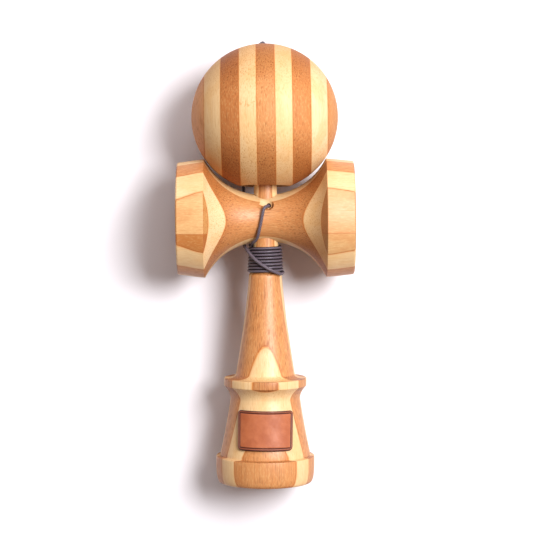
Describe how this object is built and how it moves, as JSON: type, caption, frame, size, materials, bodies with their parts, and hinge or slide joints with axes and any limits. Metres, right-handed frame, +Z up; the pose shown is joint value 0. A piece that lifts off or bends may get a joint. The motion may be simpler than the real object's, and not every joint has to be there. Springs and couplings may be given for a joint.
{
  "type": "kendama",
  "caption": "Laminated bamboo kendama: turned ken with base cup and spike, two-cup crosspiece, striped ball seated on the spike, cord wound on the neck and a leather patch.",
  "frame": {"origin": "on the table under the middle of the object's footprint, as it lies on its ball and its base", "axes": "+Y from the base cup towards the spike and ball, +X towards the small cup, +Z up from the table, which is the front with the leather patch and the string hole"},
  "size_m": [0.0732, 0.1839, 0.0604],
  "materials": {
    "dark_bamboo": "carbonised bamboo, sanded and lightly lacquered",
    "light_bamboo": "natural bamboo, sanded and lightly lacquered",
    "bead_wood": "turned beech, plain",
    "leather": "vegetable-tanned, burnished dark edge",
    "waxed_cord": "braided polyester, slight sheen"
  },
  "bodies": {
    "ken": {"crosspiece_back_1": "dark_bamboo", "crosspiece_back_2_big_cup": "light_bamboo", "crosspiece_back_2_small_cup": "light_bamboo", "crosspiece_back_3_big_cup": "dark_bamboo", "crosspiece_back_3_small_cup": "dark_bamboo", "crosspiece_core": "light_bamboo", "crosspiece_front_1": "dark_bamboo", "crosspiece_front_2_big_cup": "light_bamboo", "crosspiece_front_2_small_cup": "light_bamboo", "crosspiece_front_3_big_cup": "dark_bamboo", "crosspiece_front_3_small_cup": "dark_bamboo", "ken_back_1": "dark_bamboo", "ken_back_2": "light_bamboo", "ken_back_3": "dark_bamboo", "ken_back_3_flange": "dark_bamboo", "ken_core": "light_bamboo", "ken_front_1": "dark_bamboo", "ken_front_2": "light_bamboo", "ken_front_3": "dark_bamboo", "ken_front_3_flange": "dark_bamboo", "leather_patch": "leather", "string_cross_run": "waxed_cord", "string_lead": "waxed_cord", "string_start_knot": "waxed_cord", "string_winding": "waxed_cord"},
    "string_end": {"string_ball_run": "waxed_cord", "string_bead": "bead_wood", "string_end_knot": "waxed_cord"},
    "ball": {"ball_ply_1": "dark_bamboo", "ball_ply_2": "light_bamboo", "ball_ply_3": "dark_bamboo", "ball_ply_4": "light_bamboo", "ball_ply_5": "dark_bamboo", "ball_ply_6": "light_bamboo", "ball_ply_7": "dark_bamboo", "ball_ply_8": "light_bamboo", "ball_ply_9": "dark_bamboo"}
  },
  "joints": [
    {"name": "ball_lift", "type": "slide", "parent": "ken", "child": "string_end", "axis": [0, 0.9977, 0.0674], "range_m": [0, 0.042]},
    {"name": "ball_spin", "type": "hinge", "parent": "string_end", "child": "ball", "pos_m": [-0.00029, 0.06105, 0.0302], "axis": [0, 1, 0], "continuous": true}
  ]
}
